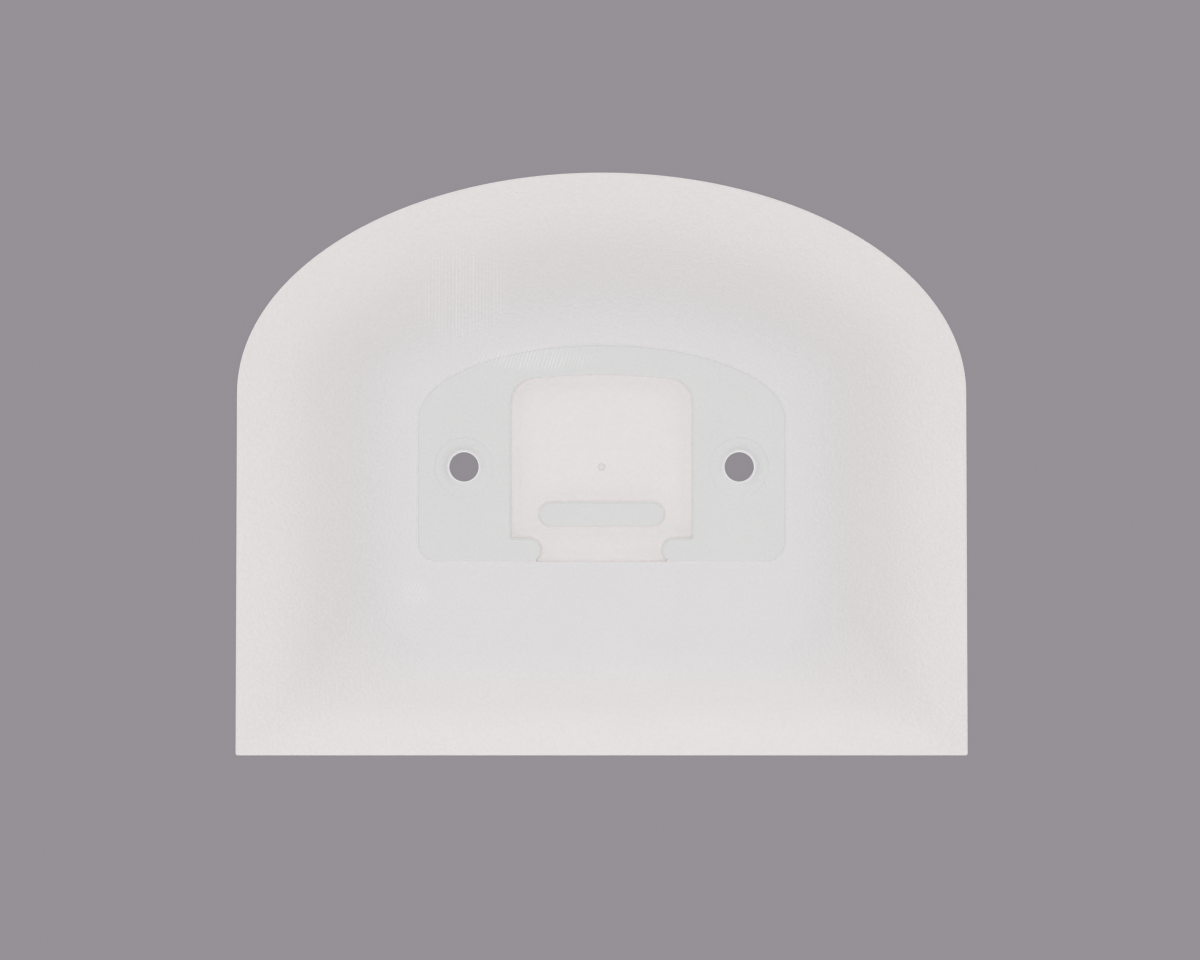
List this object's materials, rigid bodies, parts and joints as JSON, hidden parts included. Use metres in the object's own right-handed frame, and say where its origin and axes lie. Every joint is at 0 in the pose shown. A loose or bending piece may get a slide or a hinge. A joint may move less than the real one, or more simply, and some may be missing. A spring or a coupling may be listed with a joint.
{
  "type": "dough scraper",
  "caption": "Flat arch-topped plastic dough scraper with thin flexible edges, a low arch-shaped grip frame round a thin window, a thumb bar and hanging holes.",
  "frame": {"origin": "on the flat front face, below the middle of the part's box", "axes": "+X along the straight edge to the right as the back is seen, +Y from the straight edge to the crown of the arch, +Z out of the back"},
  "size_m": [0.15, 0.1194, 0.0032],
  "materials": {
    "polypropylene": "natural white, slightly translucent, moulded with a fine satin grain"
  },
  "bodies": {
    "root": {"blade": "polypropylene", "middle_panel": "polypropylene", "grip_frame": "polypropylene", "thumb_bar": "polypropylene", "left_hole_boss": "polypropylene", "right_hole_boss": "polypropylene", "gate_mark": "polypropylene"}
  },
  "joints": []
}
